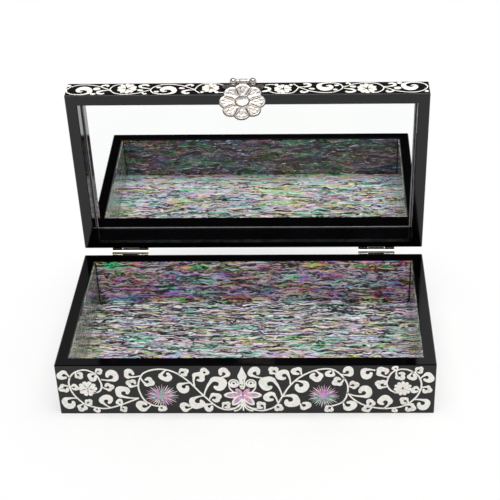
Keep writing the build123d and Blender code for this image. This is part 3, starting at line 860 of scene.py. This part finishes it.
# %% Lid border
def lay_border(shell, flowers, place, side, shift=0.0):
    """Lay half a border: the right half for side 1, and it turned half round for side -1."""
    def laid(points):
        return [Vector((side * (spot[0] + shift), spot[1] if side > 0 else lid_high - spot[1]))
                for spot in points]

    for vine in border_vines:
        line = smooth_line(vine)
        lay_strip(shell, place, laid(line), [border_half] * len(line))
    curls = [[(fork + x, y, half) for x, y, half in curl] for fork in fork_places for curl in fork_curls]
    curls += [[(middle + x, leaf_height + y, half) for x, y, half in coil] for middle in leaf_places]
    for number, curl in enumerate(curls + lone_curls):
        line = smooth_line(curl)
        lay_strip(shell, place, laid(line), [spot.z for spot in line], lift=hair * (1 + number % 6))
    for across, up, length, half, tilt in buds:
        outline = petal((across, up), tilt, -length / 2, length / 2, half, 0.9)
        lay_plate(shell, place, laid(outline), lift=0.0095)
    start = 111 if side > 0 else 291
    for middle, radius in border_blossoms:
        centre = laid([(middle, blossom_height)])[0]
        lay_blossom(flowers, place, centre, radius, 5, lobes=2, start=start, lift=0.002)


border, border_flowers = bmesh.new(), bmesh.new()
lay_border(border, border_flowers, lid_front, 1)
lay_border(border, border_flowers, lid_front, -1, left_shift)
finish_piece(border, "lid_front_border", pearl, "lid")
finish_piece(border_flowers, "lid_front_blossoms", cream_shell, "lid")

# %% [markdown]
# ## The ends and the top
# The photograph doesn't show the ends or the lid's top. Boxes of this kind carry the same
# ornament there, so half of the front scroll goes on each end of the tray, half of the
# border on each end of the lid, and on the lid's top two front scrolls face each other
# across a row of blossoms. The back stays plain, with the hinges on it.

# %% Half of the front, for any face
left_half = (left_vines, left_leaves, left_blossom, left_thistle, left_thistle_colour)
right_half = (right_vines, right_leaves, right_blossom, right_thistle, right_thistle_colour)


def grow_half(scroll, flowers, needles, place, half, shift=0.0):
    """Lay half of the front with its blossom and its thistle, moved along the face."""
    vines, leaves, (across, up, radius, petals, lobes), thistle, colour_at = half
    grow_scroll(scroll, place, vines, leaves, shift)
    lay_blossom(flowers, place, (across + shift, up), radius, petals, lobes)
    across, up, wide, tall = thistle
    lay_thistle(needles, place, (across + shift, up), wide, tall, colour_at)


# %% Ends of the tray
end_shift = 59.5
ends_scroll, ends_flowers = bmesh.new(), bmesh.new()
ends_needles = {colour: bmesh.new() for colour in thistle_shells}
grow_half(ends_scroll, ends_flowers, ends_needles, left_face, left_half, end_shift)
grow_half(ends_scroll, ends_flowers, ends_needles, right_face, right_half, -end_shift)
finish_piece(ends_scroll, "end_scrolls", pearl, "base")
finish_piece(ends_flowers, "end_blossoms", cream_shell, "base")
finish_thistles(ends_needles, "end_thistles", "base")

# %% Ends of the lid
lid_end_shift = -65.5
lid_ends, lid_end_flowers = bmesh.new(), bmesh.new()
for place, side in ((lid_left, 1), (lid_right, -1)):
    lay_border(lid_ends, lid_end_flowers, place, side, lid_end_shift)
finish_piece(lid_ends, "lid_end_borders", pearl, "lid")
finish_piece(lid_end_flowers, "lid_end_blossoms", cream_shell, "lid")

# %% Top of the lid
top_margin = 2.5
near_top = face((0, front + top_margin * mm, lid_top), (1, 0, 0), (0, 1, 0), lid_swing)
far_top = face((0, back - top_margin * mm, lid_top), (-1, 0, 0), (0, -1, 0), lid_swing)
middle_top = face((0, 0, lid_top), (1, 0, 0), (0, 1, 0), lid_swing)
top_scroll, top_flowers, top_rose, top_dark = bmesh.new(), bmesh.new(), bmesh.new(), bmesh.new()
top_needles = {colour: bmesh.new() for colour in thistle_shells} | {"rose": top_rose}
for place in (near_top, far_top):
    for half in (left_half, right_half):
        grow_half(top_scroll, top_flowers, top_needles, place, half)
    lay_lotus(top_scroll, top_rose, top_dark, place, (-2.7, 0))

# %% Row of blossoms on the lid
row_step, row_leaf = 24, 8.5
row_of_blossoms = [number * row_step for number in range(-4, 5)]
for number, across in enumerate(row_of_blossoms):
    lay_blossom(top_flowers, middle_top, (across, 0), 8.0, 12 if number % 2 else 8, inner=0.35)
    lay_blossom(top_rose, middle_top, (across, 0), 3.9, 8, lift=0.002)
for across in [spot + row_step / 2 for spot in row_of_blossoms[:-1]]:
    for side in (-1, 1):
        root, middle = (across - side * 3.5, -side * 1.0), (across + side * 0.4, side * 6.2)
        lay_strip(top_scroll, middle_top, *comma_leaf(root, middle, row_leaf, side))
finish_piece(top_scroll, "lid_top_scrolls", pearl, "lid")
finish_piece(top_flowers, "lid_top_blossoms", cream_shell, "lid")
finish_piece(top_dark, "lid_top_dots", lacquer, "lid")
finish_thistles(top_needles, "lid_top_thistles", "lid")

# %% [markdown]
# ## The clasp's flower
# The flower is cast, and then the strokes are chased into it with a punch. Its outline is
# the same ring of petal circles as in the solid. Over that, each petal gets a raised rim,
# a fan of fine strokes and a ringed teardrop, double grooves part the petals, and fine
# rays run over the boss. How deep a spot lies is stored with it, so that the silver can be
# brown in the grooves, where a polishing cloth doesn't reach.

# %% Sizes and place of the flower
clasp_spot = lid_swing.inverted() @ Vector(joints["flower_swing"]["pos_m"])
clasp_turned = clasp_lean @ lid_swing
petal_count, petal_radius, flower_radius = 8, 5.6, 15.4
flower_drop, flower_setback, flower_thickness = 1.85, 1.0, 1.2
boss_radius, boss_height, petals_start = 4.3, 1.25, 4.42
groove_start, teardrop_spot = 4.9, 9.9
rings_in_boss, rings_in_petals, spokes = 12, 30, 256
boss_rays, fan_strokes = 16, 13
flower_face = face(clasp_spot + mm * Vector((0, flower_setback, -flower_drop - flower_radius)),
                   (1, 0, 0), (0, 0, 1), clasp_turned)
print("flower of", petal_count, "petals,", 2 * flower_radius, "mm across")


# %% Chased strokes
# Each stroke has a height, below 0 where it is sunk, and the width over which it fades
parting, second_line, boss_groove = (-0.4, 0.34), (-0.16, 0.22), (-0.3, 0.35)
drop_rim, drop_middle, raised_rim, outer_edge = (0.2, 0.28), (0.1, 0.5), (0.2, 0.42), (-0.45, 0.3)
fan_height, fan_width = 0.09, 0.55
browning = 2.6


def ridge(distance, height, width):
    """Give a soft ridge that is this high on its line and fades over this width."""
    return height * math.exp(-(distance / width) ** 2)


print("a parting groove is", -ridge(0, *parting), "mm deep")


def petal_reach(off):
    """Give how far a petal's circle reaches at this angle off its middle."""
    centre = flower_radius - petal_radius
    return centre * math.cos(off) + math.sqrt(petal_radius ** 2 - (centre * math.sin(off)) ** 2)


def petal_height(radius, off, reach):
    """Give the chased height at a distance from the flower's middle, over its plain face."""
    groove = radius * math.sin(math.pi / petal_count - abs(off))
    past_boss = min(1, max(0, (radius - groove_start) / 1.5))
    height = (ridge(groove, *parting) + ridge(groove - 0.95, *second_line)) * past_boss
    height += ridge(radius - groove_start + 0.25, *boss_groove)
    along, across = radius * math.cos(off) - teardrop_spot, radius * math.sin(off)
    ring = math.hypot(along / (2.5 - 0.25 * along), across / 1.15)
    height += ridge(ring - 1, *drop_rim) + ridge(ring, *drop_middle)
    edge = reach - radius
    fan = ridge(ring - 1.95, fan_height, fan_width) * (edge > 1.3)
    height += fan * math.cos(fan_strokes * math.atan2(across, along + 3.5))
    return height + ridge(edge - 0.8, *raised_rim) + ridge(edge, *outer_edge)


# %% Chased flower
def chase_flower(shell, depth_layer):
    """Draw the flower as a closed plate with its chased face."""
    rings = []
    for ring in range(1, rings_in_boss + rings_in_petals + 1):
        row = []
        for spoke in range(spokes):
            angle = 2 * math.pi * spoke / spokes
            off = (angle + math.pi / petal_count) % (2 * math.pi / petal_count) - math.pi / petal_count
            reach = petal_reach(off)
            if ring <= rings_in_boss:
                radius = boss_radius * ring / rings_in_boss
                dome = boss_height * (1 - 0.55 * (radius / boss_radius) ** 1.6)
                height = dome - 0.07 * (radius / boss_radius) * (1 - math.cos(boss_rays * angle))
            else:
                part = (ring - rings_in_boss) / rings_in_petals
                radius = petals_start + (reach - petals_start) * part
                height = petal_height(radius, off, reach)
            # A quarter turn on puts the first petal at the top
            spot = Vector((-radius * math.sin(angle), radius * math.cos(angle), flower_thickness + height))
            vertex = shell.verts.new(flower_face @ spot)
            vertex[depth_layer] = min(1, max(0, -browning * height))
            row.append(vertex)
        rings.append(row)
    tip = shell.verts.new(flower_face @ Vector((0, 0, flower_thickness + boss_height)))
    underside = [shell.verts.new(flower_face @ Vector((*(flower_face.inverted() @ vertex.co).xy, 0.0)))
                 for vertex in rings[-1]]
    for spoke in range(spokes):
        after = (spoke + 1) % spokes
        shell.faces.new((tip, rings[0][spoke], rings[0][after]))
        for inner, outer in zip(rings, rings[1:] + [underside]):
            shell.faces.new((inner[spoke], outer[spoke], outer[after], inner[after]))
    shell.faces.new(underside)


# %% Lathe
def turn_piece(shell, place, profile, segments=40):
    """Turn a profile of (along, radius) points about the X axis of a place, as on a lathe."""
    rows = []
    for along, radius in profile:
        if radius == 0:
            rows.append([shell.verts.new(place @ Vector((along, 0, 0)))] * segments)
            continue
        rows.append([shell.verts.new(place @ Vector((along, radius * math.cos(t), radius * math.sin(t))))
                     for t in (2 * math.pi * step / segments for step in range(segments))])
    for near, far in zip(rows, rows[1:]):
        for step in range(segments):
            after = (step + 1) % segments
            corners = [near[step], near[after], far[after], far[step]]
            shell.faces.new(list(dict.fromkeys(corners)))


# %% Flower on its knuckle
pin_place = face(clasp_spot, (1, 0, 0), (0, 0, 1), clasp_turned)
knuckle_half, knuckle_radius, bore_radius, arris = 2.45, 1.7, 0.85, 0.2
knuckle = [(-knuckle_half, bore_radius), (-knuckle_half, knuckle_radius - arris),
           (-knuckle_half + arris, knuckle_radius), (knuckle_half - arris, knuckle_radius),
           (knuckle_half, knuckle_radius - arris), (knuckle_half, bore_radius),
           (-knuckle_half, bore_radius)]
neck_low, neck_high = flower_radius - 1.2, flower_radius + flower_drop - bore_radius - 0.5
neck = [(-knuckle_half, neck_low), (knuckle_half, neck_low), (knuckle_half, neck_high),
        (-knuckle_half, neck_high)]

flower = bmesh.new()
chase_flower(flower, flower.verts.layers.float.new("tarnish"))
turn_piece(flower, pin_place, knuckle)
behind, before = ([flower.verts.new(flower_face @ Vector((x, y, height))) for x, y in neck]
                  for height in (0, flower_thickness - arris))
flower.faces.new(behind)
flower.faces.new(before)
for step in range(4):
    flower.faces.new((behind[step - 1], behind[step], before[step], before[step - 1]))
clasp_flower = finish_piece(flower, "chased_clasp_flower", tarnished_silver, "clasp_flower",
                            smooth=True)
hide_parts("clasp_flower")

# %% [markdown]
# ## The clasp's pin
# The pin is turned with a ball on each end, and each ball has a small collar where it
# meets the rod.

# %% Turned pin with its balls
ball_spot, ball_radius, rod_radius, collar_radius = 6.5, 2.4, 0.8, 1.15
ball_start = ball_spot - ball_radius
half_pin = [(0, rod_radius), (ball_start - 0.1, rod_radius), (ball_start, collar_radius)]
for degrees in range(150, -1, -10):
    half_pin.append((ball_spot + ball_radius * heading(degrees).x, ball_radius * heading(degrees).y))
half_pin[-1] = (ball_spot + ball_radius, 0)
pin = bmesh.new()
for side in (-1, 1):
    turn_piece(pin, pin_place, [(side * along, radius) for along, radius in half_pin])
bmesh.ops.remove_doubles(pin, verts=pin.verts, dist=1e-7)
turned_pin = finish_piece(pin, "turned_clasp_pin", silver_plate, "clasp_pin", smooth=True)
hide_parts("clasp_pin")

# %% [markdown]
# ## The mirror's ground edge, the dark bars of painted shade behind the hinges and the tray's joints
# The cut edge of the mirror is ground and left frosted, and it shows as a thin pale line
# along the wall that it stands against. In the corners of the tray the sheets of abalone
# don't quite meet, and a dark line of lacquer fills the joint. Behind each middle knuckle
# a black lacquered bar on the lid's leaf, clear of the knuckle, is painted shade: a dark
# piece set in the gap where there is only shadow.

# %% Ground edge of the mirror
def lay_bar(shell, place, middle, sizes):
    """Lay a straight bar about a point of a face, with its sizes to the right, up and out."""
    made = bmesh.ops.create_cube(shell, size=1.0)
    spot = place @ Matrix.Translation(middle) @ Matrix.Diagonal((*sizes, 1.0))
    bmesh.ops.transform(shell, matrix=spot, verts=made["verts"])


glass_low, glass_high = shut_box("mirror_glass")
edge_width, edge_rise = 0.55, 0.5
middle = (glass_low + glass_high) / 2
glass_place = face((middle.x, middle.y, glass_low.z), (1, 0, 0), (0, -1, 0), lid_swing)
across, along = (glass_high.x - glass_low.x) / 2 / mm, (glass_high.y - glass_low.y) / 2 / mm
ground = bmesh.new()
for side in (-1, 1):
    lay_bar(ground, glass_place, (0, side * (along - edge_width / 2), -edge_rise / 2),
            (2 * across, edge_width, edge_rise))
    lay_bar(ground, glass_place, (side * (across - edge_width / 2), 0, -edge_rise / 2),
            (edge_width, 2 * (along - edge_width), edge_rise))
finish_piece(ground, "mirror_ground_edge", ground_glass, "lid")

# %% Black bars of painted shade behind the knuckles
shade_bar_sizes, shade_bar_back, shade_bar_up = (11.6, 1.4, 0.7), -1.3, 3.15
leaf_low, leaf_high = shut_box("right_hinge_lid_leaf")
hinge_middle = (leaf_low.x + leaf_high.x) / 2 / mm
hinge_axis = Vector(joints["lid_hinge"]["pos_m"]) / mm
# painted shade: black bars set in the gap behind the middle knuckles, where there is only shadow
shade_bars = bmesh.new()
for side in (-1, 1):
    lay_bar(shade_bars, lid_swing @ Matrix.Scale(mm, 4),
            (side * hinge_middle, hinge_axis.y + shade_bar_back, hinge_axis.z + shade_bar_up), shade_bar_sizes)
finish_piece(shade_bars, "painted_shade_bars_behind_the_knuckles", lacquer, "lid")

# %% Joints in the corners of the tray
joint_width = 0.5
back_sheet_low, back_sheet_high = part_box("back_lining")
joint_foot, joint_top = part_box("floor_lining")[1].z / mm, back_sheet_high.z / mm
corner_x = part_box("right_lining")[0].x / mm - joint_width / 2
corner_y = back_sheet_low.y / mm - joint_width / 2
corner_joints = bmesh.new()
for across, along in ((-1, -1), (-1, 1), (1, -1), (1, 1)):
    lay_bar(corner_joints, Matrix.Scale(mm, 4),
            (across * corner_x, along * corner_y, (joint_foot + joint_top) / 2),
            (joint_width, joint_width, joint_top - joint_foot))
finish_piece(corner_joints, "corner_joints_of_the_lining", lacquer, "base")

# %% [markdown]
# ## Light, world and floor
# The picture was taken on white paper under one wide soft box, with a dark room beyond
# the camera. The gloss shows that: what leans back or down mirrors white, and what looks
# up to the front mirrors black. So the world is white low down and behind, more so to the
# right, and dark high up in front, and the camera itself sees plain white. Each band eases
# from one brightness to another along an axis.

# %% World
world = bpy.data.worlds.new("studio")
bpy.context.scene.world = world
world.use_nodes = True
tree = world.node_tree
tree.nodes.clear()
way = add_node(tree, "ShaderNodeTexCoord").outputs["Generated"]
parts = add_node(tree, "ShaderNodeSeparateXYZ", {"Vector": way}).outputs
bands = {"side": ("X", -0.2, 0.3, 0.24, 0.76), "high": ("Z", 0.53, 0.6, 0.0, 1.0),
         "behind": ("Y", -0.45, 0.2, 0.0, 1.0), "low": ("Z", 0.42, 0.12, 0.015, 1.05)}
eased = {}
for name, (axis, start, end, first, last) in bands.items():
    band = add_node(tree, "ShaderNodeMapRange", {
        "Value": parts[axis], "From Min": start, "From Max": end, "To Min": first, "To Max": last},
        interpolation_type="SMOOTHSTEP")
    eased[name] = band.outputs["Result"]
wall_light = add_node(tree, "ShaderNodeMix", {"Factor": eased["high"], "A": 0.13, "B": eased["side"]})
rear = add_node(tree, "ShaderNodeMath", {0: wall_light.outputs["Result"], 1: eased["behind"]},
                operation="MULTIPLY").outputs[0]
room = add_node(tree, "ShaderNodeMath", {0: rear, 1: eased["low"]}, operation="MAXIMUM").outputs[0]
dim = add_node(tree, "ShaderNodeBackground", {"Color": room, "Strength": 1.0})
white_room = add_node(tree, "ShaderNodeBackground", {"Color": (1, 1, 1, 1), "Strength": 1.0})
eye = add_node(tree, "ShaderNodeLightPath").outputs["Is Camera Ray"]
both = add_node(tree, "ShaderNodeMixShader", {0: eye, 1: dim.outputs[0], 2: white_room.outputs[0]})
add_node(tree, "ShaderNodeOutputWorld", {"Surface": both.outputs[0]})
print("world of", len(bands), "bands")

# %% Soft box
soft_box = bpy.data.objects.new("soft_box", bpy.data.lights.new("soft_box", "AREA"))
bpy.context.scene.collection.objects.link(soft_box)
soft_box.data.shape, soft_box.data.size, soft_box.data.size_y = "RECTANGLE", 1.3, 0.8
soft_box.data.energy = 20
soft_box.location = (0.1, -0.23, 1.3)
print("soft box", soft_box.data.energy, "W")

# %% Paper
paper_tooth, shadow_start, shadow_end = 2 * mm, 0.08, 0.2
paper, tree, shader = new_material("matte_white_paper", Roughness=0.9)
place = add_node(tree, "ShaderNodeTexCoord").outputs["Object"]
tooth = add_node(tree, "ShaderNodeTexNoise", {"Vector": place, "Scale": 1 / paper_tooth})
tone = add_node(tree, "ShaderNodeValToRGB", {"Fac": tooth.outputs["Fac"]},
                stops=[(0.3, "#e4e4e3"), (0.7, "#e8e8e7")])
tree.links.new(tone.outputs["Color"], shader.inputs["Base Color"])
distance = add_node(tree, "ShaderNodeVectorMath", {0: place}, operation="LENGTH").outputs["Value"]
rays = add_node(tree, "ShaderNodeLightPath").outputs
seen = add_node(tree, "ShaderNodeMath", {0: rays["Is Camera Ray"], 1: rays["Is Glossy Ray"]},
                operation="MAXIMUM").outputs[0]
faded = add_node(tree, "ShaderNodeMapRange", {
    "Value": distance, "From Min": shadow_start, "From Max": shadow_end, "To Min": 0.35, "To Max": 1.0},
    interpolation_type="SMOOTHSTEP").outputs["Result"]
share = add_node(tree, "ShaderNodeMath", {0: faded, 1: seen}, operation="MULTIPLY").outputs[0]
glow = add_node(tree, "ShaderNodeEmission", {"Color": (1, 1, 1, 1), "Strength": 1.0})
far = add_node(tree, "ShaderNodeMixShader", {0: share, 1: shader.outputs[0], 2: glow.outputs[0]})
tree.links.new(far.outputs[0], tree.nodes["Material Output"].inputs["Surface"])

# %% Floor
floor_radius = 4.0
sheet = bmesh.new()
bmesh.ops.create_circle(sheet, cap_ends=True, radius=floor_radius, segments=64)
mesh = bpy.data.meshes.new("floor")
sheet.to_mesh(mesh)
sheet.free()
mesh.materials.append(paper)
floor = bpy.data.objects.new("floor", mesh)
bpy.context.scene.collection.objects.link(floor)
print("floor", 2 * floor_radius, "m across")

# %% [markdown]
# ## Look
# The plain Standard view keeps colours as they are written.

# %% Finish
bpy.context.scene.view_settings.view_transform = "Standard"
